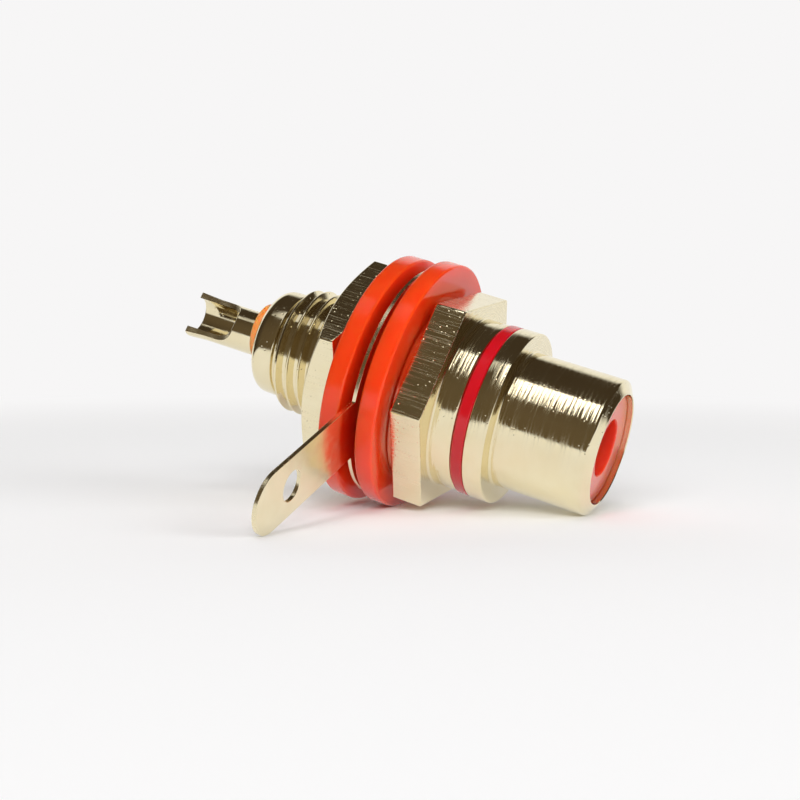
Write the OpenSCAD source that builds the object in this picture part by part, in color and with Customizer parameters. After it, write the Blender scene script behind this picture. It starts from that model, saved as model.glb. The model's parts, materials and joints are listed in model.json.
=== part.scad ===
// Insulated panel socket for a coaxial audio plug, lying on a table as it comes to rest.
// Every piece is drawn along the socket's axis, +X towards the mouth, with x = 0 at the back of the
// hexagon flange. The last step tilts the whole socket onto its mouth, its front washer and its tag.

/* [Barrel and mouth] */
// Diameter of the barrel that the plug's ring grips
barrel_d = 8.3; // [7.9:0.05:8.6]
// Length of the barrel, from the collar to the mouth's chamfer
barrel_len = 5.64; // [4.5:0.02:8]
// Length of the mouth's chamfer along the axis
mouth_chamfer = 0.4; // [0.2:0.05:0.6]
// Diameter of the mouth's bore, which holds the insulator's head
mouth_d = 6.72; // [6.4:0.02:7.2]
// Depth from the mouth to the insulator's face
mouth_recess = 0.4; // [0.1:0.05:0.6]

/* [Collar, colour ring and neck] */
// Diameter of the collar in front of the colour ring
collar_d = 10.56; // [9.6:0.02:11.2]
// Width of the collar along the axis
collar_w = 1.21; // [0.6:0.01:2]
// Diameter over the colour ring
colour_ring_d = 10.54; // [9.8:0.02:11]
// Width of the colour ring
colour_ring_w = 0.77; // [0.4:0.01:1.5]
// Radial depth of the groove that holds the colour ring
ring_groove_depth = 0.7; // [0.4:0.05:0.9]
// Diameter of the neck behind the colour ring
neck_d = 10.4; // [9.6:0.02:11]
// Length of the neck, from the flange to the colour ring
neck_len = 1.52; // [0.8:0.01:3]
// Edge break on the turned corners
edge_break = 0.08; // [0.04:0.01:0.15]
// Radius of the fillets at the roots of the barrel and the neck
root_fillet = 0.15; // [0.05:0.01:0.25]

/* [Hexagon flange and nut] */
// Size across the flats of the flange
flange_af = 12.1; // [11.8:0.1:13]
// Thickness of the flange
flange_t = 1.9; // [1.2:0.1:3]
// Turn of the flange's corners about the axis, in degrees
flange_turn = 36; // [0:1:59]
// Diameter of the turned seat behind the flange
seat_d = 11.4; // [10.6:0.1:11.7]
// Height of the turned seat behind the flange
seat_h = 0.48; // [0.2:0.02:0.8]
// Size across the flats of the nut
nut_af = 12; // [11:0.1:13]
// Thickness of the nut
nut_t = 2.2; // [1.6:0.1:3]
// Diameter of the nut's flat faces, inside its chamfers
nut_face_d = 11.5; // [10.6:0.1:11.9]
// Slope of the nut's chamfers, in degrees
nut_chamfer = 30; // [20:1:40]
// Turn of the nut's corners about the axis, in degrees
nut_rest_turn = 13; // [0:1:59]

/* [Thread and rear lip] */
// Outside diameter of the thread
thread_d = 7.94; // [7.8:0.02:8.1]
// Pitch of the thread
thread_pitch = 0.794; // [0.7:0.002:1]
// Length of full thread, from the flange to the lead taper
thread_len = 8.95; // [8:0.05:12]
// How much less the lead taper's small end measures across than the thread
lead_drop = 0.34; // [0.1:0.02:0.7]
// Length of the lead taper
lead_len = 0.45; // [0.3:0.05:1]
// Diameter of the relief groove behind the lead taper
relief_d = 6.2; // [5.9:0.05:6.4]
// Width of the relief groove
relief_w = 0.45; // [0.2:0.05:0.8]
// Diameter of the rear lip
lip_d = 6.62; // [6.5:0.02:6.9]
// Length of the rear lip
lip_len = 1.64; // [1:0.02:2.2]
// Radius of the lip's rounded end
lip_round = 0.72; // [0.4:0.02:0.8]

/* [Washers] */
// Diameter of the two insulating washers
washer_d = 15.3; // [14.4:0.1:16.5]
// Thickness of a washer's flange
washer_t = 1.15; // [0.8:0.05:1.6]
// Edge break on the washer's rim
washer_edge = 0.12; // [0.05:0.01:0.2]
// Diameter of the collar that centres a washer in the panel's hole
washer_collar_d = 10; // [9.4:0.1:11]
// Height of that collar
washer_collar_h = 0.47; // [0.25:0.01:0.8]
// Radial room between a washer and the thread
washer_room = 0.35; // [0.3:0.01:0.45]
// How far the table lifts the loose front washer off the axis
front_washer_rise = 0.2; // [0:0.01:0.24]
// How far the loose rear washer hangs below the axis
rear_washer_drop = 0.1; // [0:0.01:0.24]

/* [Solder tag] */
// Thickness of the tag's sheet
tag_t = 0.25; // [0.2:0.05:0.5]
// Diameter of the tag's ring
tag_ring_d = 14.2; // [12.5:0.1:14.4]
// Width of the tag's strip
tag_w = 3.8; // [3:0.1:5]
// Distance from the axis to the tag's tip
tag_reach = 17.6; // [15:0.1:20]
// Distance from the tag's tip to the centre of the wire hole
tag_hole_inset = 3.8; // [2.5:0.1:5]
// Diameter of the wire hole
tag_hole_d = 1.85; // [1:0.05:2.2]
// Radial room between the tag and the thread
tag_room = 0.12; // [0.08:0.01:0.3]

/* [Insulators] */
// Diameter of the bore that holds the front insulator
core_d = 6.06; // [5.8:0.02:6.3]
// Distance from the flange's back to the shoulder that ends this bore
core_depth = 5.5; // [4:0.1:7]
// Diameter of the narrower bore behind the shoulder
rear_bore_d = 4.8; // [4.5:0.05:5]
// Diameter of the hole for the plug's pin in the insulator's face
pin_hole_d = 3.44; // [3.36:0.02:3.6]
// Radius of the edge round the insulator's face
face_edge = 0.15; // [0.05:0.05:0.3]
// Thickness of the insulator's head, which is the web in front of the spring sleeve
web_t = 2.04; // [1:0.02:3]
// Thickness of the rear insulator's flange
rear_flange_t = 0.5; // [0.3:0.05:1]
// Diameter of the boss on the rear insulator
rear_boss_d = 3.6; // [3.5:0.05:3.9]
// How far the boss stands out behind the lip
rear_boss_h = 0.85; // [0.2:0.05:1.2]
// How far the boss sits off the axis
rear_boss_rise = 0.3; // [0:0.05:0.3]

/* [Centre contact] */
// Bore of the contact's spring sleeve
sleeve_bore_d = 3.24; // [3.1:0.02:3.3]
// Wall of the spring sleeve
sleeve_wall = 0.48; // [0.3:0.02:0.55]
// Thickness of the floor behind the spring sleeve's bore
sleeve_floor_t = 0.86; // [0.4:0.02:1.5]
// Length of the slots that make the sleeve springy
slot_len = 6; // [3:0.1:9]
// Width of the slots
slot_w = 0.4; // [0.2:0.05:0.6]
// Diameter of the stem
stem_d = 2.78; // [2.5:0.02:2.9]
// Distance from the lip's end to the end of the solder cup
cup_reach = 5.91; // [5:0.01:8]
// Bore of the solder cup
cup_bore_d = 2.2; // [1.8:0.05:2.3]
// Diameter of the cup's flared end
cup_flare_d = 2.96; // [2.92:0.02:3.1]
// Length of the flare
cup_flare_len = 1.5; // [0.5:0.1:2.5]
// Distance from the cup's end to where its cut-away starts at the top
cup_cut_len = 3.55; // [2.5:0.05:4.5]
// Height of the cut-away's floor above the axis
cup_cut_floor = 0.45; // [0.1:0.05:0.7]
// Radius of the scoop that ends the cut-away
cup_scoop_r = 1.5; // [1:0.05:2]
// Direction in which the cut-away opens, in degrees about the axis
cup_turn = 157; // [0:1:359]
// Point angle of the drill that made the contact's two bores, in degrees
drill_point = 118; // [90:1:140]

/* [Fits] */
// Radial room between the nut and the thread
nut_room = 0.05; // [0.01:0.01:0.1]
// Room left round pieces that are pressed in
press_gap = 0.02; // [0.01:0.01:0.03]

/* [Hidden] */
$fn = 96;
ARC_STEPS = 10;
CUT_MARGIN = 1;

// Colours of the finishes
GOLD = [0.86, 0.79, 0.58];
WASHER_RED = [0.93, 0.27, 0.13];
RING_RED = [0.74, 0.09, 0.14];
FACE_SALMON = [0.93, 0.55, 0.50];
BOSS_ORANGE = [0.90, 0.52, 0.30];

// Radii
barrel_r = barrel_d / 2;
mouth_r = mouth_d / 2;
core_r = core_d / 2;
rear_bore_r = rear_bore_d / 2;
thread_r = thread_d / 2;
washer_r = washer_d / 2;
stem_r = stem_d / 2;
sleeve_bore_r = sleeve_bore_d / 2;
sleeve_r = sleeve_bore_r + sleeve_wall;
ring_groove_r = neck_d / 2 - ring_groove_depth;

// Stations along the axis, in front of the flange's back face
neck_front = flange_t + neck_len;
ring_front = neck_front + colour_ring_w;
collar_front = ring_front + collar_w;
barrel_front = collar_front + barrel_len;
mouth_x = barrel_front + mouth_chamfer;
face_x = mouth_x - mouth_recess;
head_back = face_x - web_t;

// Stations behind the flange's back face: seat, front washer, tag, rear washer, nut
front_washer_x = -seat_h - washer_t;
tag_front = front_washer_x - washer_collar_h;
tag_back = tag_front - tag_t;
rear_washer_front = tag_back - washer_collar_h;
nut_front = rear_washer_front - washer_t;
lead_x = -thread_len;
relief_x = lead_x - lead_len;
lip_front = relief_x - relief_w;
lip_end = lip_front - lip_len;

// Thread's section: a 60 degree V with a flat crest an eighth of the pitch wide and a flat root a quarter
thread_root_r = thread_r - 5 / 8 * cos(30) * thread_pitch;
crest_half = thread_pitch / 16;
base_half = thread_pitch * 3 / 8;
first_crest = relief_x + thread_pitch / 5;
crest_count = floor((-seat_h - base_half - first_crest) / thread_pitch);

// Stations of what the shell holds
shoulder_x = -core_depth;
rear_flange_front = shoulder_x + rear_flange_t;
sleeve_front = head_back - press_gap;
stem_front = rear_flange_front + press_gap;
sleeve_floor = stem_front + sleeve_floor_t;
boss_end = lip_end - rear_boss_h;
cup_end = lip_end - cup_reach;

// Pose at rest: the mouth's edge and the front washer's rim stand on the table, and the tag has
// turned until its tip touches it
washer_low = washer_r - front_washer_rise;
rim_x = -seat_h - washer_edge;
rest_tilt = atan((washer_low - barrel_r) / (barrel_front - rim_x));
axis_height = barrel_front * sin(rest_tilt) + barrel_r * cos(rest_tilt);
tip_drop = (axis_height - tag_front * sin(rest_tilt)) / cos(rest_tilt);
tag_tip_r = tag_w / 2;
tag_tip_run = tag_reach - tag_tip_r;
tag_droop = asin((tip_drop - tag_tip_r) / tag_tip_run);

// Reach of the socket at rest, which centres it over the origin
reach_front = mouth_x * cos(rest_tilt) + mouth_r * sin(rest_tilt);
reach_back = cup_end * cos(rest_tilt) - cup_flare_d / 2 * sin(rest_tilt);
reach_near = -tag_tip_run * cos(tag_droop) - tag_tip_r;
rest_shift = [-(reach_front + reach_back) / 2, -(washer_r + reach_near) / 2, axis_height];

// Points of an arc about [r, x], from angle a0 to a1
function arc(r, x, radius, a0, a1) =
    [for (i = [0 : ARC_STEPS])
        let (a = a0 + (a1 - a0) * i / ARC_STEPS)
        [r + radius * cos(a), x + radius * sin(a)]];

// Radius of the thread's crest at a station, less on the lead taper
function crest_r(x) = thread_r - lead_drop / 2 * max(0, (lead_x - x) / lead_len);

// Points of one crest of the thread, from its front to its back
function crest(x) = [
    [thread_root_r, x + base_half], [crest_r(x + crest_half), x + crest_half],
    [crest_r(x - crest_half), x - crest_half], [thread_root_r, x - base_half]
];

// Corner radius of a hexagon of a given size across its flats
function corner_r(across_flats) = across_flats / 2 / cos(30);

// Tilts a piece from the socket's axis into the pose at rest
module at_rest() {
    translate(rest_shift) rotate([0, rest_tilt, 0]) children();
}

// Spins a profile of [radius, x] points about the axis
module turned(profile) {
    rotate([0, 90, 0]) rotate_extrude() polygon(profile);
}

// A round bar along the axis, from x0 to x1
module bar(r, x0, x1) {
    translate([x0, 0, 0]) rotate([0, 90, 0]) cylinder(r = r, h = x1 - x0);
}

// A hole drilled along the axis from x0 to full depth at x1, with the drill's point beyond
module drilled(r, x0, x1) {
    tip = x1 + sign(x1 - x0) * r / tan(drill_point / 2);
    turned([[0, x0], [r, x0], [r, x1], [0, tip]]);
}

// A hexagon bar along the axis, from x0 to x1
module hex_bar(across_flats, turn, x0, x1) {
    translate([x0, 0, 0])
        rotate([turn, 0, 0])
            rotate([0, 90, 0])
                cylinder(r = corner_r(across_flats), h = x1 - x0, $fn = 6);
}

// Shell: barrel, collar, neck, flange, thread and rear lip, turned from one hexagon bar
module shell() {
    collar_r = collar_d / 2;
    neck_r = neck_d / 2;
    seat_r = seat_d / 2;
    mouth_profile = [
        [core_r, head_back], [mouth_r, head_back], [mouth_r, mouth_x], [barrel_r, barrel_front]
    ];
    barrel_root = arc(barrel_r + root_fillet, collar_front + root_fillet, root_fillet, 180, 270);
    collar_profile = [
        [collar_r - edge_break, collar_front], [collar_r, collar_front - edge_break],
        [collar_r, ring_front + edge_break], [collar_r - edge_break, ring_front],
        [ring_groove_r, ring_front], [ring_groove_r, neck_front],
        [neck_r - edge_break, neck_front], [neck_r, neck_front - edge_break]
    ];
    neck_root = arc(neck_r + root_fillet, flange_t + root_fillet, root_fillet, 180, 270);
    seat_profile = [
        [neck_r + root_fillet, flange_t / 2], [seat_r, flange_t / 2], [seat_r, -seat_h]
    ];
    // Rings of the thread's section take the place of its helix
    thread_profile = [
        [thread_root_r, -seat_h],
        for (i = [crest_count : -1 : 1]) each crest(first_crest + i * thread_pitch),
        [thread_root_r, first_crest + base_half],
        [crest_r(first_crest + crest_half), first_crest + crest_half],
        [crest_r(relief_x), relief_x],
        [relief_d / 2, relief_x], [relief_d / 2, lip_front], [lip_d / 2, lip_front]
    ];
    lip_profile = arc(lip_d / 2 - lip_round, lip_end + lip_round, lip_round, 0, -90);
    bore_profile = [
        [rear_bore_r, lip_end], [rear_bore_r, shoulder_x], [core_r, shoulder_x]
    ];
    color(GOLD) at_rest() {
        difference() {
            union() {
                turned(concat(mouth_profile, barrel_root, collar_profile, neck_root,
                              seat_profile, thread_profile, lip_profile, bore_profile));
                hex_bar(flange_af, flange_turn, 0, flange_t);
            }
            bar(core_r, shoulder_x, head_back);
        }
    }
}

// Colour ring, snapped into the groove between the neck and the collar
module colour_ring() {
    ring_in = ring_groove_r + press_gap;
    ring_out = colour_ring_d / 2;
    back = neck_front + press_gap;
    front = ring_front - press_gap;
    color(RING_RED) at_rest()
        turned([[ring_in, back], [ring_out, back], [ring_out, front], [ring_in, front]]);
}

// Front insulator: a sleeve with a head that fills the mouth and lets the plug's pin through
module front_insulator() {
    hole_r = pin_hole_d / 2;
    head_r = mouth_r - press_gap;
    out_r = core_r - press_gap;
    in_r = sleeve_r + press_gap;
    back = rear_flange_front + press_gap;
    color(FACE_SALMON) at_rest()
        turned(concat(
            [[hole_r, face_x]],
            arc(head_r - face_edge, face_x - face_edge, face_edge, 90, 0),
            [[head_r, head_back], [out_r, head_back], [out_r, back]],
            [[in_r, back], [in_r, head_back], [hole_r, head_back]]
        ));
}

// Rear insulator: a flanged bush round the stem, with a boss that shows behind the lip
module rear_insulator() {
    out_r = rear_bore_r - press_gap;
    flange_r = core_r - press_gap;
    flange_back = shoulder_x + press_gap;
    stem_hole_r = stem_r + press_gap;
    color(BOSS_ORANGE) at_rest()
        difference() {
            union() {
                bar(flange_r, flange_back, rear_flange_front);
                bar(out_r, lip_end, rear_flange_front);
                translate([0, 0, rear_boss_rise])
                    bar(rear_boss_d / 2, boss_end, rear_flange_front);
            }
            bar(stem_hole_r, boss_end - CUT_MARGIN, rear_flange_front + CUT_MARGIN);
        }
}

// What the cutter takes out of the solder cup: a flat floor that ends in a scoop
module cup_cut() {
    scoop_z = cup_cut_floor + cup_scoop_r;
    scoop_run = sqrt(pow(cup_scoop_r, 2) - pow(scoop_z - stem_r, 2));
    scoop_x = cup_end + cup_cut_len - scoop_run;
    cutter_w = cup_flare_d + 2 * CUT_MARGIN;
    rotate([cup_turn - 90, 0, 0]) {
        translate([cup_end - CUT_MARGIN, -cutter_w / 2, cup_cut_floor])
            cube([scoop_x - cup_end + CUT_MARGIN, cutter_w, cup_scoop_r]);
        translate([scoop_x, cutter_w / 2, scoop_z])
            rotate([90, 0, 0]) cylinder(r = cup_scoop_r, h = cutter_w);
    }
}

// Centre contact: slotted spring sleeve in front, stem, and a cut-away solder cup behind
module centre_contact() {
    flare_x = cup_end + cup_flare_len;
    cup_floor = cup_end + cup_cut_len + cup_bore_d / 2;
    color(GOLD) at_rest()
        difference() {
            union() {
                bar(sleeve_r, stem_front, sleeve_front);
                turned([
                    [0, cup_end], [cup_flare_d / 2, cup_end],
                    [stem_r, flare_x], [stem_r, stem_front + press_gap], [0, stem_front + press_gap]
                ]);
            }
            drilled(sleeve_bore_r, sleeve_front + CUT_MARGIN, sleeve_floor);
            for (turn = [45, 135])
                rotate([turn, 0, 0])
                    translate([sleeve_front - slot_len, -sleeve_r - CUT_MARGIN, -slot_w / 2])
                        cube([slot_len + CUT_MARGIN, 2 * (sleeve_r + CUT_MARGIN), slot_w]);
            drilled(cup_bore_d / 2, cup_end - CUT_MARGIN, cup_floor);
            cup_cut();
        }
}

// Insulating washer with its flange's back at x = 0; the collar stands on the side that dir points to
module washer(dir) {
    bore_r = thread_r + washer_room;
    rim_r = washer_r - washer_edge;
    collar_r = washer_collar_d / 2;
    collar_x = dir > 0 ? washer_t + washer_collar_h : -washer_collar_h;
    difference() {
        union() {
            turned([
                [0, 0], [rim_r, 0], [washer_r, washer_edge],
                [washer_r, washer_t - washer_edge], [rim_r, washer_t], [0, washer_t]
            ]);
            bar(collar_r, min(collar_x, washer_t / 2), max(collar_x, washer_t / 2));
        }
        bar(bore_r, -washer_collar_h - CUT_MARGIN, washer_t + washer_collar_h + CUT_MARGIN);
    }
}

// Front washer, against the seat, with its collar to the back
module front_washer() {
    color(WASHER_RED) at_rest()
        translate([front_washer_x, 0, front_washer_rise]) washer(-1);
}

// Rear washer, against the nut, with its collar to the front
module rear_washer() {
    color(WASHER_RED) at_rest()
        translate([nut_front, 0, -rear_washer_drop]) washer(1);
}

// Solder tag: a flat ring between the washers' collars, with a round-ended strip and a wire hole
module solder_tag() {
    color(GOLD) at_rest()
        translate([tag_back, 0, 0])
            rotate([180 + tag_droop, 0, 0])
                rotate([90, 0, 90])
                    linear_extrude(tag_t)
                        difference() {
                            union() {
                                circle(r = tag_ring_d / 2);
                                translate([0, -tag_w / 2]) square([tag_tip_run, tag_w]);
                                translate([tag_tip_run, 0]) circle(r = tag_tip_r);
                            }
                            circle(r = thread_r + tag_room);
                            translate([tag_reach - tag_hole_inset, 0]) circle(r = tag_hole_d / 2);
                        }
}

// Hexagon nut, chamfered on both sides
module hex_nut() {
    nut_back = nut_front - nut_t;
    face_r = nut_face_d / 2;
    tip_r = corner_r(nut_af) + CUT_MARGIN;
    fall = (tip_r - face_r) * tan(nut_chamfer);
    color(GOLD) at_rest()
        difference() {
            intersection() {
                hex_bar(nut_af, nut_rest_turn, nut_back, nut_front);
                turned([
                    [0, nut_back], [face_r, nut_back], [tip_r, nut_back + fall],
                    [tip_r, nut_front - fall], [face_r, nut_front], [0, nut_front]
                ]);
            }
            bar(thread_r + nut_room, nut_back - CUT_MARGIN, nut_front + CUT_MARGIN);
        }
}

shell();
colour_ring();
front_insulator();
rear_insulator();
centre_contact();
front_washer();
rear_washer();
solder_tag();
hex_nut();
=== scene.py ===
"""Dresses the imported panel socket: plated brass, red washers and plastic insulators on a white table."""
import json
import math

import bmesh
import bpy
from mathutils import Matrix, Vector


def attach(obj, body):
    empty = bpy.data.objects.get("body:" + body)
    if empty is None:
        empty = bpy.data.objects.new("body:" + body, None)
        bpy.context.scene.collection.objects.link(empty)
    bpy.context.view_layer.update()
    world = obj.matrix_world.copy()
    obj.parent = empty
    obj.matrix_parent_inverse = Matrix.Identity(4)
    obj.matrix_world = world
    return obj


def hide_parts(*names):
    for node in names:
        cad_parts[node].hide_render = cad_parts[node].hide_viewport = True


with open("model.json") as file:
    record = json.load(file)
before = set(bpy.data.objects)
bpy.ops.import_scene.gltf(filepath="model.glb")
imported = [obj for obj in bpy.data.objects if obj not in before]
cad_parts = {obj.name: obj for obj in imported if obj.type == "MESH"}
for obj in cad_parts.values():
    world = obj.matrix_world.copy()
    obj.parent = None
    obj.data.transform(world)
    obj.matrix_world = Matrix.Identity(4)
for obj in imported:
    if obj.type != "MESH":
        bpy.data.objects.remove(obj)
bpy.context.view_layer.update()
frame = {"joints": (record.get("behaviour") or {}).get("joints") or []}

# Sizes in millimetres along the socket's axis: x runs to the mouth from the back of the hexagon flange
MM = 0.001
MICRON = 1e-6
BARREL_R = 4.15
CORE_R = 3.03
MOUTH_R = 3.36
COLLAR_R = 5.28
NECK_R = 5.2
RING_R = 5.27
GROOVE_R = 4.5
SEAT_R = 5.7
THREAD_R = 3.97
LEAD_R = 3.8
RELIEF_R = 3.1
LIP_R = 3.31
REAR_BORE_R = 2.4
FLANGE_AF = 12.1
FLANGE_T = 1.9
FLANGE_CORNER = -54
NUT_AF = 12.0
NUT_T = 2.2
NUT_FACE_R = 5.75
NUT_CHAMFER = 30
NUT_CORNER = -77
NUT_BORE_R = 4.02
WASHER_R = 7.65
WASHER_T = 1.15
WASHER_COLLAR_R = 5.0
WASHER_COLLAR_H = 0.47
WASHER_BORE_R = 4.32
FRONT_WASHER_RISE = 0.2
REAR_WASHER_DROP = 0.1
TAG_T = 0.25
TAG_RING_R = 7.1
TAG_BORE_R = 4.09
TAG_TIP_R = 1.9
TAG_REACH = 17.6
TAG_HOLE_INSET = 3.8
TAG_HOLE_R = 0.925
TAG_DROOP = 22.37
PIN_HOLE_R = 1.72
HEAD_T = 2.04
FACE_EDGE = 0.15
SLEEVE_R = 2.1
SLEEVE_BORE_R = 1.62
SLOT_LEN = 6.0
SLOT_W = 0.4
STEM_R = 1.39
CUP_R = 1.48
CUP_BORE_R = 1.1
CUP_FLARE_LEN = 1.5
CUP_CUT_LEN = 3.55
CUP_CUT_FLOOR = 0.45
CUP_SCOOP_R = 1.5
CUP_TURN = 157
BOSS_R = 1.8
BOSS_RISE = 0.3
DRILL_SLOPE = math.tan(math.radians(118 / 2))
PRESS_GAP = 0.02
SEAT_H = 0.48
ROOT_FILLET = 0.15
COLLAR_EDGE = 0.08
NECK_EDGE = 0.2
LIP_ROUND = 0.72
PITCH = 0.794
NECK_LEN = 1.52
GROOVE_W = 0.77
COLLAR_LEN = 1.21
BARREL_LEN = 5.64
MOUTH_BEVEL = 0.4
FACE_DEPTH = 0.4
LEAD_LEN = 0.45
RELIEF_W = 0.45
LIP_LEN = 1.64
BUSH_FLANGE_T = 0.5
SLEEVE_FLOOR_T = 0.86
THREAD_GAP = 0.1
BOSS_LEN = 0.85
CUP_REACH = 5.91

# Stations along the axis in front of the flange's back
NECK_X = FLANGE_T + NECK_LEN
RING_X = NECK_X + GROOVE_W
COLLAR_X = RING_X + COLLAR_LEN
BARREL_X = COLLAR_X + BARREL_LEN
MOUTH_X = BARREL_X + MOUTH_BEVEL
FACE_X = MOUTH_X - FACE_DEPTH
HEAD_X = FACE_X - HEAD_T

# Stations behind it
FRONT_WASHER_X = -SEAT_H - WASHER_T
TAG_X = FRONT_WASHER_X - WASHER_COLLAR_H
REAR_WASHER_X = TAG_X - TAG_T - WASHER_COLLAR_H
NUT_X = REAR_WASHER_X - WASHER_T
LEAD_X = -8.95
RELIEF_X = LEAD_X - LEAD_LEN
LIP_X = RELIEF_X - RELIEF_W
LIP_END = LIP_X - LIP_LEN
SHOULDER_X = -5.5
BUSH_X = SHOULDER_X + BUSH_FLANGE_T
SLEEVE_X = HEAD_X - PRESS_GAP
SLEEVE_FLOOR = BUSH_X + PRESS_GAP + SLEEVE_FLOOR_T
THREAD_FRONT = -SEAT_H - THREAD_GAP
BOSS_END = LIP_END - BOSS_LEN
CUP_END = LIP_END - CUP_REACH
CUP_FLOOR = CUP_END + CUP_CUT_LEN + CUP_BORE_R

# Mesh fineness
SEGMENTS = 144
STEM_SEGMENTS = 72
ARC_STEPS = 8
ROUND_STEPS = 3
WELD = 1e-4
SHARP = math.radians(40)

# Rounding of the edges, in millimetres
EDGE_ROUND = 0.09
CREST_ROUND = 0.086
NUT_ROUND = 0.06
WASHER_ROUND = 0.12
TAG_ROUND = 0.03
HEAD_ROUND = 0.1
BUSH_ROUND = 0.04
CUP_ROUND = 0.05

# The axis frame at rest, from the nut's joint: its axis points back, and it lies at the nut's front face
nut_turn = next(j for j in frame["joints"] if j["name"] == "nut_turn")
AXIS = -Vector(nut_turn["axis"]).normalized()
SIDE = Vector((0, 1, 0))
UP = AXIS.cross(SIDE)
ORIGIN = Vector(nut_turn["pos_m"]) - AXIS * NUT_X * MM
REST = Matrix.Translation(ORIGIN) @ Matrix((AXIS, SIDE, UP)).transposed().to_4x4() @ Matrix.Scale(MM, 4)


# Shapes

def arc(x, r, radius, start, end):
    """Points of an arc about (x, r), with angles from +x towards +r in degrees."""
    angles = [math.radians(start + (end - start) * i / ARC_STEPS) for i in range(ARC_STEPS + 1)]
    return [(x + radius * math.cos(a), r + radius * math.sin(a)) for a in angles]


def chain(bm, points, closed=False):
    """Joins points by edges and returns the vertices and edges."""
    verts = [bm.verts.new(p) for p in points]
    pairs = list(zip(verts, verts[1:]))
    if closed:
        pairs.append((verts[-1], verts[0]))
    return verts, [bm.edges.new(pair) for pair in pairs]


def turn(bm, profile, closed=False, start_deg=0, steps=SEGMENTS):
    """Spins a profile of (x, r) points about the axis, from a given angle and in equal steps."""
    c, s = math.cos(math.radians(start_deg)), math.sin(math.radians(start_deg))
    verts, edges = chain(bm, [(x, r * c, r * s) for x, r in profile], closed)
    bmesh.ops.spin(bm, geom=verts + edges, cent=(0, 0, 0), axis=(1, 0, 0),
                   angle=math.tau, steps=steps, use_merge=True)
    bmesh.ops.remove_doubles(bm, verts=bm.verts, dist=WELD)


def rim(bm, x):
    """The open edges that lie at a station."""
    return [e for e in bm.edges if e.is_boundary and all(abs(v.co.x - x) < WELD for v in e.verts)]


def grow(bm, edges, place):
    """Extrudes a ring of edges and puts each new vertex at the (x, r) that place gives for its angle."""
    geom = bmesh.ops.extrude_edge_only(bm, edges=edges)["geom"]
    fresh = {g for g in geom if isinstance(g, bmesh.types.BMVert)}
    for v in fresh:
        angle = math.atan2(v.co.z, v.co.y)
        x, r = place(angle)
        v.co = (x, r * math.cos(angle), r * math.sin(angle))
    return [g for g in geom if isinstance(g, bmesh.types.BMEdge) and fresh.issuperset(g.verts)]


def hexagon(across_flats, corner_deg):
    """Distance from the axis to the outline of a hexagon with a corner at a given angle, by the angle."""
    def radius(angle):
        off_middle = (angle - math.radians(corner_deg)) % (math.pi / 3) - math.pi / 6
        return across_flats / 2 / math.cos(off_middle)
    return radius


def crease(bm, angle):
    """Breaks the shading where faces meet at more than an angle."""
    for e in bm.edges:
        if not e.is_manifold or e.calc_face_angle() > angle:
            e.smooth = False


def round_edges(bm, width, keep=lambda edge: True, clamp=True):
    """Rounds the sharp edges that keep accepts; the faces beside them stay shaded as they were."""
    sharp = [e for e in bm.edges if e.is_manifold and e.calc_face_angle() > SHARP / 2 and keep(e)]
    strips = set(bmesh.ops.bevel(bm, geom=sharp, offset=width, segments=ROUND_STEPS, profile=0.5,
                                 affect="EDGES", material=-1, clamp_overlap=clamp)["faces"])
    for e in {e for f in strips for e in f.edges}:
        e.smooth = strips.issuperset(e.link_faces)


def piece(bm, name, body, finishes):
    """Puts a shape drawn along the axis into its place at rest, for the CAD node of the same name."""
    bmesh.ops.recalc_face_normals(bm, faces=bm.faces)
    crease(bm, SHARP)
    for f in bm.faces:
        f.smooth = True
    bmesh.ops.transform(bm, matrix=REST, verts=bm.verts)
    mesh = bpy.data.meshes.new(name)
    bm.to_mesh(mesh)
    bm.free()
    for finish in finishes:
        mesh.materials.append(finish)
    obj = bpy.data.objects.new("dressed_" + name, mesh)
    bpy.context.scene.collection.objects.link(obj)
    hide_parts(name)
    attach(obj, body)


# Materials

def srgb(code):
    """Linear colour from an sRGB hex value."""
    parts = [int(code[i:i + 2], 16) / 255 for i in (1, 3, 5)]
    return [p / 12.92 if p <= 0.04045 else ((p + 0.055) / 1.055) ** 2.4 for p in parts] + [1.0]


def add(tree, kind, inputs=(), **settings):
    """Adds a node, sets its settings and sets or links its inputs."""
    node = tree.nodes.new(kind)
    for key, value in settings.items():
        setattr(node, key, value)
    for key, value in dict(inputs).items():
        if isinstance(value, bpy.types.NodeSocket):
            tree.links.new(value, node.inputs[key])
        else:
            node.inputs[key].default_value = value
    return node


def new_material(name):
    """An empty node material with its shader and its coordinates along the axis, in millimetres."""
    material = bpy.data.materials.new(name)
    material.use_nodes = True
    tree = material.node_tree
    place, turned, scale = REST.inverted().decompose()
    coords = add(tree, "ShaderNodeTexCoord").outputs["Object"]
    local = add(tree, "ShaderNodeMapping", {
        "Vector": coords, "Location": place, "Rotation": turned.to_euler(), "Scale": scale})
    return material, tree, tree.nodes["Principled BSDF"], local.outputs["Vector"]


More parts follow.
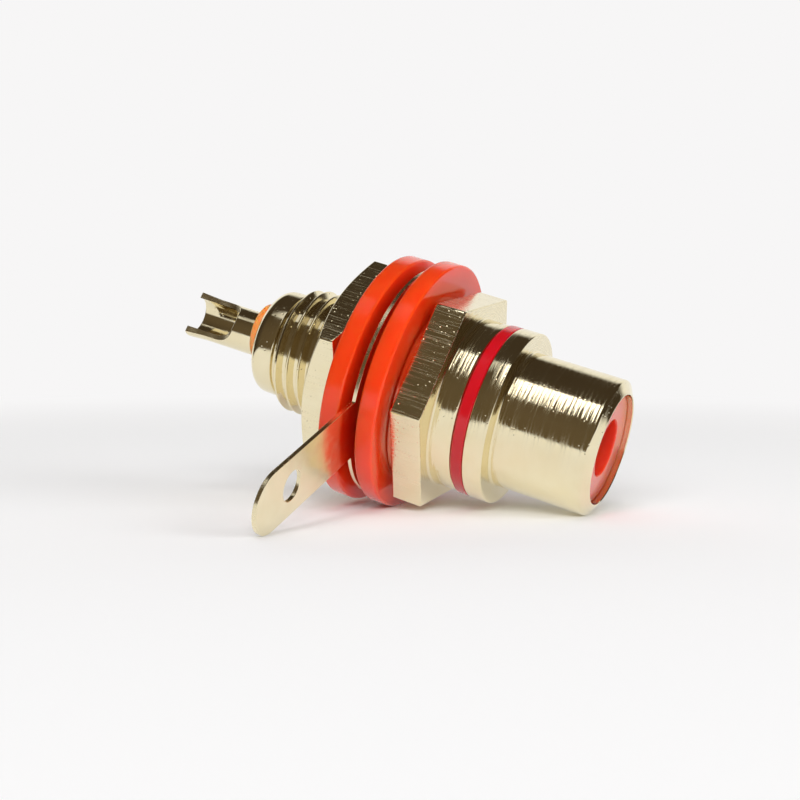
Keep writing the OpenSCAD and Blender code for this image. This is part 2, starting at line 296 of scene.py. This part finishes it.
def turning_marks(tree, local):
    """Rings that a lathe tool leaves, along cylinders and across end faces alike."""
    # A real feed, near 0.05 mm, is too fine to show in the render, so the rings are drawn coarser
    spacing = 0.14
    arcs_per_turn = 1.6
    around = add(tree, "ShaderNodeVectorMath", {0: local, 1: (0, 1, 1)}, operation="MULTIPLY").outputs[0]
    radius = add(tree, "ShaderNodeVectorMath", {0: around}, operation="LENGTH").outputs["Value"]
    unit = add(tree, "ShaderNodeVectorMath", {0: around}, operation="NORMALIZE").outputs[0]
    along = add(tree, "ShaderNodeSeparateXYZ", {0: local}).outputs["X"]
    feed = add(tree, "ShaderNodeMath", {0: along, 1: radius}, operation="ADD").outputs[0]
    line = add(tree, "ShaderNodeMath", {0: feed, 1: 1 / spacing}, operation="MULTIPLY").outputs[0]
    arcs = add(tree, "ShaderNodeVectorMath", {0: unit, "Scale": arcs_per_turn}, operation="SCALE").outputs[0]
    row = add(tree, "ShaderNodeCombineXYZ", {"X": line}).outputs[0]
    where = add(tree, "ShaderNodeVectorMath", {0: row, 1: arcs}, operation="ADD").outputs[0]
    return add(tree, "ShaderNodeTexNoise", {
        "Vector": where, "Scale": 1.0, "Detail": 2.0, "Roughness": 0.6}).outputs["Fac"]


def drawing_marks(tree, local):
    """Lines along the bar that the die leaves on drawn flats."""
    # Real die lines are too fine to show in the render, so they are drawn coarser
    spacing = 0.09
    stretch = 60.0
    where = add(tree, "ShaderNodeVectorMath", {
        0: local, 1: (1 / spacing / stretch, 1 / spacing, 1 / spacing)}, operation="MULTIPLY").outputs[0]
    return add(tree, "ShaderNodeTexNoise", {
        "Vector": where, "Scale": 1.0, "Detail": 2.0, "Roughness": 0.6}).outputs["Fac"]


def rolled_grain(tree, local):
    """Soft unevenness of rolled sheet."""
    swells_per_mm = 1.2
    return add(tree, "ShaderNodeTexNoise", {
        "Vector": local, "Scale": swells_per_mm, "Detail": 3.0, "Roughness": 0.55}).outputs["Fac"]


def gold_plated_brass(name, marks, depth_um, polished, worn, pit_um=6.0):
    """Pale gold plate over bright brass: it mirrors its surroundings, and marks and pits show through."""
    material, tree, shader, local = new_material(name)
    lines = marks(tree, local)
    # Real pits are too fine to show in the render, so they are drawn wider
    pit_spacing = 0.36
    pit_floor, pit_rim = 0.04, 0.18
    pits = add(tree, "ShaderNodeTexVoronoi", {"Vector": local, "Scale": 1 / pit_spacing})
    dent = add(tree, "ShaderNodeMapRange", {
        "Value": pits.outputs["Distance"], "From Min": pit_floor, "From Max": pit_rim,
        "To Min": -pit_um, "To Max": 0.0})
    height = add(tree, "ShaderNodeMath", {0: lines, 1: depth_um, 2: dent.outputs[0]},
                 operation="MULTIPLY_ADD").outputs[0]
    bump = add(tree, "ShaderNodeBump", {"Height": height, "Strength": 1.0, "Distance": MICRON})
    clouds_per_mm = 0.7
    deep, pale = srgb("#EDDFB6"), srgb("#F4EBCC")
    cloud = add(tree, "ShaderNodeTexNoise", {"Vector": local, "Scale": clouds_per_mm, "Detail": 3.0})
    tone = add(tree, "ShaderNodeMix", {0: cloud.outputs["Fac"], 6: deep, 7: pale}, data_type="RGBA")
    bright_below, dull_above = 0.45, 0.65
    haze = add(tree, "ShaderNodeMapRange", {
        "Value": lines, "From Min": bright_below, "From Max": dull_above,
        "To Min": polished, "To Max": worn})
    tree.links.new(tone.outputs[2], shader.inputs["Base Color"])
    tree.links.new(haze.outputs[0], shader.inputs["Roughness"])
    tree.links.new(bump.outputs[0], shader.inputs["Normal"])
    shader.inputs["Metallic"].default_value = 1.0
    return material


def moulded_plastic(name, dark, light, roughness, glow_mm, waviness_um):
    """Glossy moulded plastic that light passes into: warmer where it is thin, with an uneven skin."""
    material, tree, shader, local = new_material(name)
    flows_per_mm, waves_per_mm = 0.35, 0.9
    red_goes_deepest = (1.0, 0.25, 0.08)
    flow = add(tree, "ShaderNodeTexNoise", {"Vector": local, "Scale": flows_per_mm, "Detail": 2.0})
    tone = add(tree, "ShaderNodeMix", {0: flow.outputs["Fac"], 6: srgb(dark), 7: srgb(light)},
               data_type="RGBA")
    skin = add(tree, "ShaderNodeTexNoise", {"Vector": local, "Scale": waves_per_mm, "Detail": 2.0})
    bump = add(tree, "ShaderNodeBump", {
        "Height": skin.outputs["Fac"], "Strength": 1.0, "Distance": waviness_um * MICRON})
    tree.links.new(tone.outputs[2], shader.inputs["Base Color"])
    tree.links.new(bump.outputs[0], shader.inputs["Normal"])
    shader.inputs["Roughness"].default_value = roughness
    shader.inputs["IOR"].default_value = 1.5
    shader.inputs["Subsurface Weight"].default_value = 1.0
    shader.inputs["Subsurface Radius"].default_value = red_goes_deepest
    shader.inputs["Subsurface Scale"].default_value = glow_mm * MM
    return material


# Turned skin: bright, with rings that break the highlights into streaks
turned_gold = gold_plated_brass(
    "gold_plated_turned_brass", turning_marks, depth_um=8.0, polished=0.08, worn=0.22)
# Faced ends: deeper rings that fan the light across the shoulders
faced_gold = gold_plated_brass(
    "gold_plated_faced_brass", turning_marks, depth_um=24.0, polished=0.08, worn=0.16)
# Drawn flats of the flange and the nut: fine lines along the bar, and pits
drawn_gold = gold_plated_brass(
    "gold_plated_drawn_brass", drawing_marks, depth_um=8.0, polished=0.08, worn=0.28, pit_um=13.0)
# Rolled thread, lip and stem: smooth, with clear dark and bright bands
bright_gold = gold_plated_brass(
    "gold_plated_rolled_brass", rolled_grain, depth_um=5.0, polished=0.08, worn=0.16, pit_um=10.0)
# Milled faces of the solder cup: dull
milled_gold = gold_plated_brass(
    "gold_plated_milled_brass", rolled_grain, depth_um=5.0, polished=0.3, worn=0.5, pit_um=0.0)
# Rolled sheet of the tag: satin
sheet_gold = gold_plated_brass(
    "gold_plated_sheet_brass", rolled_grain, depth_um=6.0, polished=0.16, worn=0.26, pit_um=0.0)
# Sheared edge of the tag: duller than its faces
sheared_gold = gold_plated_brass(
    "gold_plated_sheared_brass", rolled_grain, depth_um=3.0, polished=0.2, worn=0.3, pit_um=0.0)
# Washers: glossy orange red that glows at the rim
washer_red = moulded_plastic(
    "orange_red_nylon", "#E23810", "#E64618", roughness=0.16, glow_mm=3.0, waviness_um=3.0)
# Colour ring: deep red, nearly opaque
ring_red = moulded_plastic(
    "deep_red_abs", "#B40C1A", "#C01624", roughness=0.15, glow_mm=0.3, waviness_um=4.0)
# Insulator's face in the mouth: pale salmon
face_red = moulded_plastic(
    "salmon_red_nylon", "#DA6C5A", "#E27664", roughness=0.25, glow_mm=1.0, waviness_um=4.0)
# Its pin hole: the same nylon painted a stronger red, a painted glow standing in for light caught in the
# wall
bore_painted_glow_red = moulded_plastic(
    "red_nylon_bore_painted_glow", "#DC402A", "#E04A34", roughness=0.25, glow_mm=2.0, waviness_um=4.0)
# Rear boss: softer and more orange
boss_orange = moulded_plastic(
    "orange_nylon", "#F08A44", "#F89A58", roughness=0.35, glow_mm=1.0, waviness_um=4.0)


# Pieces

def thread(bm):
    """The helical thread between the seat and the relief groove, run out on the lead taper."""
    depth = 5 / 8 * math.cos(math.pi / 6) * PITCH
    root = THREAD_R - depth
    base = PITCH * 3 / 8
    profile = ([(-base, root)] + arc(0, THREAD_R - CREST_ROUND, CREST_ROUND, 150, 30)
               + [(base, root), (PITCH - base, root)])
    # On the side in view the first crest stands a fifth of a pitch in front of the relief groove
    crest_ahead = 1 / 5
    near_side = 165 / 360
    first = RELIEF_X + PITCH * (crest_ahead - near_side - 1)
    turns = math.ceil((-SEAT_H - first) / PITCH) + 1
    verts, edges = chain(bm, [(first + x, r, 0) for x, r in profile])
    bmesh.ops.spin(bm, geom=verts + edges, cent=(0, 0, 0), axis=(1, 0, 0), dvec=(PITCH / SEGMENTS, 0, 0),
                   angle=math.tau * turns, steps=SEGMENTS * turns)
    bmesh.ops.remove_doubles(bm, verts=bm.verts, dist=WELD)
    for v in bm.verts:
        radius = math.hypot(v.co.y, v.co.z)
        taper = THREAD_R - (THREAD_R - LEAD_R) * (LEAD_X - v.co.x) / (LEAD_X - RELIEF_X)
        if radius > taper:
            v.co.yz = v.co.yz * (taper / radius)
    for station, side in ((RELIEF_X, -1), (THREAD_FRONT, 1)):
        bmesh.ops.bisect_plane(bm, geom=bm.verts[:] + bm.edges[:] + bm.faces[:], dist=WELD / 10,
                               plane_co=(station, 0, 0), plane_no=(side, 0, 0), clear_outer=True)
    crease(bm, SHARP)


def shell():
    """Barrel, collar, neck, flange, thread and rear lip in one piece."""
    bm = bmesh.new()
    drawn, faced, bright = 1, 2, 3
    square_on = 0.9
    turn(bm, [(SHOULDER_X, CORE_R), (HEAD_X, CORE_R), (HEAD_X, MOUTH_R), (MOUTH_X, MOUTH_R)]
         + [(BARREL_X, BARREL_R)]
         + arc(COLLAR_X + ROOT_FILLET, BARREL_R + ROOT_FILLET, ROOT_FILLET, 270, 180)
         + arc(COLLAR_X - COLLAR_EDGE, COLLAR_R - COLLAR_EDGE, COLLAR_EDGE, 0, 90)
         + arc(RING_X + COLLAR_EDGE, COLLAR_R - COLLAR_EDGE, COLLAR_EDGE, 90, 180)
         + [(RING_X, GROOVE_R), (NECK_X, GROOVE_R)]
         + arc(NECK_X - NECK_EDGE, NECK_R - NECK_EDGE, NECK_EDGE, 0, 90)
         + arc(FLANGE_T + ROOT_FILLET, NECK_R + ROOT_FILLET, ROOT_FILLET, 270, 180),
         start_deg=FLANGE_CORNER)
    outline = hexagon(FLANGE_AF, FLANGE_CORNER)
    edges = rim(bm, FLANGE_T)
    for place in (lambda a: (FLANGE_T, outline(a)), lambda a: (0, outline(a)), lambda a: (0, SEAT_R),
                  lambda a: (-SEAT_H, SEAT_R), lambda a: (-SEAT_H, THREAD_R)):
        edges = grow(bm, edges, place)
    turn(bm, [(RELIEF_X, RELIEF_R), (LIP_X, RELIEF_R), (LIP_X, LIP_R)]
         + arc(LIP_END + LIP_ROUND, LIP_R - LIP_ROUND, LIP_ROUND, 90, 180)
         + [(LIP_END, REAR_BORE_R), (SHOULDER_X, REAR_BORE_R), (SHOULDER_X, CORE_R)],
         start_deg=FLANGE_CORNER)
    round_edges(bm, EDGE_ROUND)
    bmesh.ops.recalc_face_normals(bm, faces=bm.faces)
    for f in bm.faces:
        middle = f.calc_center_median()
        if abs(f.normal.x) > square_on and middle.x > 0:
            f.material_index = faced
        elif 0 < middle.x < FLANGE_T and math.hypot(*middle.yz) > SEAT_R:
            f.material_index = drawn
        elif middle.x < RELIEF_X:
            f.material_index = bright
    helix = bmesh.new()
    thread(helix)
    for f in helix.faces:
        f.material_index = bright
    sheet = bpy.data.meshes.new("helix")
    helix.to_mesh(sheet)
    helix.free()
    bm.from_mesh(sheet)
    bpy.data.meshes.remove(sheet)
    for edges in (rim(bm, -SEAT_H) + rim(bm, THREAD_FRONT), rim(bm, RELIEF_X)):
        bmesh.ops.bridge_loops(bm, edges=edges)
    piece(bm, "shell", "socket", [turned_gold, drawn_gold, faced_gold, bright_gold])


def colour_ring():
    """Red ring in the groove between the neck and the collar."""
    bm = bmesh.new()
    back, front = NECK_X + PRESS_GAP, RING_X - PRESS_GAP
    inner = GROOVE_R + PRESS_GAP
    turn(bm, [(back, inner), (back, RING_R), (front, RING_R), (front, inner)], closed=True)
    round_edges(bm, EDGE_ROUND)
    piece(bm, "colour_ring", "socket", [ring_red])


def washer(name, body, back, rise, collar_back):
    """Insulating washer with a centring collar on one side."""
    bm = bmesh.new()
    front = back + WASHER_T
    rim_side = [(back, WASHER_R), (front, WASHER_R)]
    if collar_back:
        root = back - WASHER_COLLAR_H
        profile = [(root, WASHER_BORE_R), (root, WASHER_COLLAR_R), (back, WASHER_COLLAR_R)] + rim_side
        profile.append((front, WASHER_BORE_R))
    else:
        tip = front + WASHER_COLLAR_H
        profile = [(back, WASHER_BORE_R)] + rim_side
        profile += [(front, WASHER_COLLAR_R), (tip, WASHER_COLLAR_R), (tip, WASHER_BORE_R)]
    turn(bm, profile, closed=True)
    round_edges(bm, WASHER_ROUND)
    bmesh.ops.translate(bm, verts=bm.verts, vec=(0, 0, rise))
    piece(bm, name, body, [washer_red])


def hex_nut():
    """Hexagon nut, chamfered on both sides."""
    bm = bmesh.new()
    outline = hexagon(NUT_AF, NUT_CORNER)
    back = NUT_X - NUT_T
    slope = math.tan(math.radians(NUT_CHAMFER))
    turn(bm, [(NUT_X, NUT_BORE_R), (NUT_X, NUT_FACE_R)], start_deg=NUT_CORNER)
    ring = [e for e in rim(bm, NUT_X) if math.hypot(*e.verts[0].co.yz) > NUT_FACE_R - WELD]
    for place in (lambda a: (NUT_X - (outline(a) - NUT_FACE_R) * slope, outline(a)),
                  lambda a: (back + (outline(a) - NUT_FACE_R) * slope, outline(a)),
                  lambda a: (back, NUT_FACE_R), lambda a: (back, NUT_BORE_R)):
        ring = grow(bm, ring, place)
    bmesh.ops.bridge_loops(bm, edges=rim(bm, NUT_X) + rim(bm, back))
    bmesh.ops.recalc_face_normals(bm, faces=bm.faces)
    side_on = 0.1
    for f in bm.faces:
        radius = math.hypot(*f.calc_center_median().yz)
        f.material_index = int(abs(f.normal.x) < side_on and radius > NUT_FACE_R)
    round_edges(bm, NUT_ROUND)
    piece(bm, "hex_nut", "nut", [turned_gold, drawn_gold])


def solder_tag():
    """Flat tag between the washers: a ring with a round-ended strip and a wire hole."""
    bm = bmesh.new()
    run = TAG_REACH - TAG_TIP_R
    neck_angle = math.degrees(math.asin(TAG_TIP_R / TAG_RING_R))
    outline = []
    for centre, radius, start, end, steps in ((0, TAG_RING_R, neck_angle, 360 - neck_angle, SEGMENTS),
                                              (run, TAG_TIP_R, -90, 90, SEGMENTS // 3)):
        angles = [math.radians(start + (end - start) * i / steps) for i in range(steps + 1)]
        outline += [(0, centre + radius * math.cos(a), radius * math.sin(a)) for a in angles]
    edges = chain(bm, outline, closed=True)[1]
    for centre, radius in ((0, TAG_BORE_R), (TAG_REACH - TAG_HOLE_INSET, TAG_HOLE_R)):
        into_plane = Matrix.Translation((0, centre, 0)) @ Matrix.Rotation(math.pi / 2, 4, "Y")
        ring = bmesh.ops.create_circle(bm, segments=SEGMENTS // 2, radius=radius, matrix=into_plane)
        edges += list({e for v in ring["verts"] for e in v.link_edges})
    faces = [g for g in bmesh.ops.triangle_fill(bm, use_beauty=True, edges=edges)["geom"]
             if isinstance(g, bmesh.types.BMFace)]
    raised = bmesh.ops.extrude_face_region(bm, geom=faces, use_keep_orig=True)["geom"]
    bmesh.ops.translate(bm, verts=[g for g in raised if isinstance(g, bmesh.types.BMVert)],
                        vec=(TAG_T, 0, 0))
    bmesh.ops.recalc_face_normals(bm, faces=bm.faces)
    side_on = 0.5
    for f in bm.faces:
        f.material_index = int(abs(f.normal.x) < side_on)
    round_edges(bm, TAG_ROUND, keep=lambda e: any(f.material_index == 0 for f in e.link_faces))
    droop = Matrix.Rotation(math.radians(180 + TAG_DROOP), 4, "X")
    bmesh.ops.transform(bm, matrix=Matrix.Translation((TAG_X - TAG_T, 0, 0)) @ droop, verts=bm.verts)
    piece(bm, "solder_tag", "clamp", [sheet_gold, sheared_gold])


def cut(bm, cutters):
    """Takes closed cutter shapes out of a closed shape."""
    objects = []
    for shape in [bm] + cutters:
        bmesh.ops.recalc_face_normals(shape, faces=shape.faces)
        mesh = bpy.data.meshes.new("cut")
        shape.to_mesh(mesh)
        shape.free()
        obj = bpy.data.objects.new("cut", mesh)
        bpy.context.scene.collection.objects.link(obj)
        objects.append(obj)
    for cutter in objects[1:]:
        step = objects[0].modifiers.new("cut", "BOOLEAN")
        step.operation = "DIFFERENCE"
        step.solver = "EXACT"
        step.object = cutter
    result = bmesh.new()
    result.from_object(objects[0], bpy.context.evaluated_depsgraph_get())
    for obj in objects:
        bpy.data.meshes.remove(obj.data)
    return result


def cup_cutter():
    """What the cutter takes out of the solder cup: a flat floor that ends in a scoop."""
    top = CUP_CUT_FLOOR + CUP_SCOOP_R
    scoop_x = CUP_END + CUP_CUT_LEN - math.sqrt(CUP_SCOOP_R ** 2 - (top - STEM_R) ** 2)
    clear = CUP_END - 1
    side = [(clear, top), (clear, CUP_CUT_FLOOR)] + arc(scoop_x, top, CUP_SCOOP_R, -90, 0)
    bm = bmesh.new()
    edges = chain(bm, [(x, -2 * STEM_R, z) for x, z in side], closed=True)[1]
    face = bmesh.ops.contextual_create(bm, geom=edges)["faces"]
    grown = bmesh.ops.extrude_face_region(bm, geom=face, use_keep_orig=True)["geom"]
    bmesh.ops.translate(bm, verts=[g for g in grown if isinstance(g, bmesh.types.BMVert)],
                        vec=(0, 4 * STEM_R, 0))
    bmesh.ops.rotate(bm, verts=bm.verts, matrix=Matrix.Rotation(math.radians(CUP_TURN - 90), 3, "X"))
    return bm


def slot_cutter(turn_deg):
    """One saw cut across the spring sleeve."""
    bm = bmesh.new()
    size = Matrix.Diagonal((SLOT_LEN * 2, SLEEVE_R * 3, SLOT_W, 1))
    bmesh.ops.create_cube(bm, size=1, matrix=Matrix.Rotation(math.radians(turn_deg), 4, "X")
                          @ Matrix.Translation((SLEEVE_X, 0, 0)) @ size)
    return bm


def centre_contact():
    """Slotted spring sleeve, stem and cut-away solder cup."""
    bm = bmesh.new()
    stem_x = BUSH_X + PRESS_GAP
    turn(bm, [(SLEEVE_FLOOR - SLEEVE_BORE_R / DRILL_SLOPE, 0), (SLEEVE_FLOOR, SLEEVE_BORE_R),
              (SLEEVE_X, SLEEVE_BORE_R), (SLEEVE_X, SLEEVE_R), (stem_x, SLEEVE_R), (stem_x, STEM_R),
              (CUP_END + CUP_FLARE_LEN, STEM_R), (CUP_END, CUP_R), (CUP_END, CUP_BORE_R),
              (CUP_FLOOR, CUP_BORE_R), (CUP_FLOOR + CUP_BORE_R / DRILL_SLOPE, 0)],
         start_deg=CUP_TURN, steps=STEM_SEGMENTS)
    bm = cut(bm, [cup_cutter(), slot_cutter(45), slot_cutter(135)])
    cut_sliver = 0.05
    bmesh.ops.remove_doubles(bm, verts=bm.verts, dist=cut_sliver)
    bmesh.ops.recalc_face_normals(bm, faces=bm.faces)
    milled_above = 0.3
    for f in bm.faces:
        _, y, z = f.calc_center_median()
        round_axis = Vector((0, -z, y)).normalized()
        f.material_index = int(abs(f.normal.dot(round_axis)) > milled_above)
    wall_middle = (CUP_BORE_R + STEM_R) / 2
    end_band = 0.01

    def open_to_view(edge):
        """Whether an edge lies on the outside of the cup or round its end."""
        outside = all(v.co.x < LIP_END and math.hypot(*v.co.yz) > wall_middle for v in edge.verts)
        return outside or all(v.co.x < CUP_END + end_band for v in edge.verts)

    round_edges(bm, CUP_ROUND, keep=open_to_view, clamp=False)
    piece(bm, "centre_contact", "socket", [bright_gold, milled_gold])


def front_insulator():
    """Sleeve with a head that fills the mouth and lets the plug's pin through."""
    bm = bmesh.new()
    head = MOUTH_R - PRESS_GAP
    outer = CORE_R - PRESS_GAP
    inner = SLEEVE_R + PRESS_GAP
    back = BUSH_X + PRESS_GAP
    turn(bm, [(FACE_X, PIN_HOLE_R)] + arc(FACE_X - FACE_EDGE, head - FACE_EDGE, FACE_EDGE, 0, 90)
         + [(HEAD_X, head), (HEAD_X, outer), (back, outer), (back, inner), (HEAD_X, inner),
            (HEAD_X, PIN_HOLE_R)], closed=True)
    # Faces inside the pin hole take the copy of the nylon with the painted glow
    for f in bm.faces:
        f.material_index = int(math.hypot(*f.calc_center_median().yz) < PIN_HOLE_R)
    round_edges(bm, HEAD_ROUND)
    piece(bm, "front_insulator", "socket", [face_red, bore_painted_glow_red])


def rear_insulator():
    """Flanged bush round the stem, with a boss behind the lip."""
    bm = bmesh.new()
    outer = REAR_BORE_R - PRESS_GAP
    flange = CORE_R - PRESS_GAP
    back = SHOULDER_X + PRESS_GAP
    hole = STEM_R + PRESS_GAP
    turn(bm, [(BUSH_X, hole), (BUSH_X, flange), (back, flange), (back, outer), (LIP_END, outer),
              (LIP_END, BOSS_R), (BOSS_END, BOSS_R), (BOSS_END, hole)], closed=True)
    for v in bm.verts:
        if v.co.x < LIP_END + WELD and abs(math.hypot(*v.co.yz) - BOSS_R) < WELD:
            v.co.z += BOSS_RISE
    round_edges(bm, BUSH_ROUND)
    piece(bm, "rear_insulator", "socket", [boss_orange])


shell()
colour_ring()
front_insulator()
rear_insulator()
centre_contact()
washer("front_washer", "socket", FRONT_WASHER_X, FRONT_WASHER_RISE, collar_back=True)
washer("rear_washer", "clamp", NUT_X, -REAR_WASHER_DROP, collar_back=False)
solder_tag()
hex_nut()


# Stage

BACKGROUND = srgb("#F7F6F6")
# Share of the card's plain colour that mirrors see, which lightens its shadows
MIRRORED_PLAIN = 0.3


def towards(azimuth, elevation):
    """Unit vector by azimuth from +Y towards +X and by elevation, in degrees."""
    a, e = math.radians(azimuth), math.radians(elevation)
    return Vector((math.sin(a) * math.cos(e), math.cos(a) * math.cos(e), math.sin(e)))


def table():
    """White table top that fades into the backdrop."""
    radius, sides = 0.6, 64
    fade_from, fade_to = 0.05, 0.125
    material = bpy.data.materials.new("white_card")
    material.use_nodes = True
    tree = material.node_tree
    tree.nodes.remove(tree.nodes["Principled BSDF"])
    coords = add(tree, "ShaderNodeTexCoord").outputs["Object"]
    distance = add(tree, "ShaderNodeVectorMath", {0: coords}, operation="LENGTH").outputs["Value"]
    far = add(tree, "ShaderNodeMapRange", {"Value": distance, "From Min": fade_from, "From Max": fade_to},
              interpolation_type="SMOOTHSTEP").outputs[0]
    path = add(tree, "ShaderNodeLightPath")
    plain = add(tree, "ShaderNodeMath", {0: path.outputs["Is Glossy Ray"], 1: MIRRORED_PLAIN},
                operation="MULTIPLY").outputs[0]
    lit = add(tree, "ShaderNodeBsdfDiffuse", {"Color": srgb("#F6F7F9")}).outputs[0]
    glow = add(tree, "ShaderNodeEmission", {"Color": BACKGROUND}).outputs[0]
    gone = add(tree, "ShaderNodeBsdfTransparent").outputs[0]
    card = add(tree, "ShaderNodeMixShader", {0: plain, 1: lit, 2: glow}).outputs[0]
    beyond = add(tree, "ShaderNodeMixShader", {
        0: path.outputs["Is Camera Ray"], 1: gone, 2: glow}).outputs[0]
    mix = add(tree, "ShaderNodeMixShader", {0: far, 1: card, 2: beyond}).outputs[0]
    tree.links.new(mix, tree.nodes["Material Output"].inputs["Surface"])
    bm = bmesh.new()
    bmesh.ops.create_circle(bm, cap_ends=True, segments=sides, radius=radius)
    mesh = bpy.data.meshes.new("table")
    bm.to_mesh(mesh)
    bm.free()
    mesh.materials.append(material)
    obj = bpy.data.objects.new("table", mesh)
    bpy.context.scene.collection.objects.link(obj)


def studio():
    """White backdrop behind the table, and a dim warm room overhead and in front."""
    backdrop_azimuth, backdrop_edge, backdrop_full = -25, 0.5, 0.65
    top_edge, top_full = math.sin(math.radians(49)), math.sin(math.radians(36))
    front_azimuth, front_edge, front_full = 170, 0.2, 0.9
    overhead, front, white = (0.05, 0.036, 0.022, 1), (0.12, 0.088, 0.05, 1), (0.95, 0.94, 0.92, 1)
    world = bpy.data.worlds.new("studio")
    bpy.context.scene.world = world
    world.use_nodes = True
    tree = world.node_tree
    direction = add(tree, "ShaderNodeTexCoord").outputs["Generated"]
    height = add(tree, "ShaderNodeSeparateXYZ", {0: direction}).outputs["Z"]
    behind = add(tree, "ShaderNodeVectorMath", {0: direction, 1: towards(backdrop_azimuth, 0)},
                 operation="DOT_PRODUCT").outputs["Value"]
    wide = add(tree, "ShaderNodeMapRange", {
        "Value": behind, "From Min": backdrop_edge, "From Max": backdrop_full},
        interpolation_type="SMOOTHSTEP").outputs[0]
    low = add(tree, "ShaderNodeMapRange", {"Value": height, "From Min": top_edge, "From Max": top_full},
              interpolation_type="SMOOTHSTEP").outputs[0]
    backdrop = add(tree, "ShaderNodeMath", {0: wide, 1: low}, operation="MULTIPLY").outputs[0]
    facing = add(tree, "ShaderNodeVectorMath", {0: direction, 1: towards(front_azimuth, 0)},
                 operation="DOT_PRODUCT").outputs["Value"]
    near = add(tree, "ShaderNodeMapRange", {
        "Value": facing, "From Min": front_edge, "From Max": front_full}).outputs[0]
    room = add(tree, "ShaderNodeMix", {0: near, 6: overhead, 7: front}, data_type="RGBA").outputs[2]
    light = add(tree, "ShaderNodeMix", {0: backdrop, 6: room, 7: white}, data_type="RGBA").outputs[2]
    camera_ray = add(tree, "ShaderNodeLightPath").outputs["Is Camera Ray"]
    seen = add(tree, "ShaderNodeMix", {0: camera_ray, 6: light, 7: BACKGROUND}, data_type="RGBA").outputs[2]
    tree.links.new(seen, tree.nodes["Background"].inputs["Color"])


def lamp(name, azimuth, elevation, distance, size, share, mirrored, aside=0.0):
    """Soft box that gives the table a share of its light; if not mirrored, metal shows the dark room."""
    light = bpy.data.lights.new(name, "AREA")
    light.shape = "RECTANGLE"
    light.size, light.size_y = size
    light.energy = share * (math.pi * distance) ** 2 / math.sin(math.radians(elevation))
    obj = bpy.data.objects.new(name, light)
    obj.location = towards(azimuth, elevation) * distance
    obj.rotation_euler = (-obj.location).to_track_quat("-Z", "Y").to_euler()
    obj.location += towards(azimuth - 90, 0) * aside
    obj.visible_glossy = mirrored
    bpy.context.scene.collection.objects.link(obj)


def camera():
    """The photograph's viewpoint, from the fit of the circles in it."""
    sensor_mm, lens_mm = 36, 69.12
    eye_mm = Vector((33.847, -87.079, 5.253))
    azimuth, elevation = -22.613, -3.493
    data = bpy.data.cameras.new("camera")
    data.sensor_width = sensor_mm
    data.lens = lens_mm
    data.clip_start = MM
    obj = bpy.data.objects.new("camera", data)
    obj.location = ORIGIN + eye_mm * MM
    obj.rotation_euler = towards(azimuth, elevation).to_track_quat("-Z", "Y").to_euler()
    bpy.context.scene.collection.objects.link(obj)
    bpy.context.scene.camera = obj


table()
studio()
lamp("soft_box", azimuth=180, elevation=59, distance=0.5, size=(0.13, 0.28), share=0.12, mirrored=True,
     aside=0.084)
lamp("window", azimuth=207, elevation=68, distance=0.5, size=(0.09, 0.14), share=0.01, mirrored=True)
lamp("key", azimuth=166, elevation=62, distance=0.5, size=(0.132, 0.25), share=0.06, mirrored=False)
lamp("overhead", azimuth=0, elevation=90, distance=0.9, size=(0.9, 0.9), share=0.18, mirrored=False)
lamp("front_fill", azimuth=164, elevation=28, distance=1.5, size=(1.2, 0.6), share=0.42, mirrored=False)
lamp("right_fill", azimuth=100, elevation=20, distance=1.0, size=(0.6, 0.5), share=0.14, mirrored=False)
camera()
bpy.context.scene.view_settings.view_transform = "Standard"
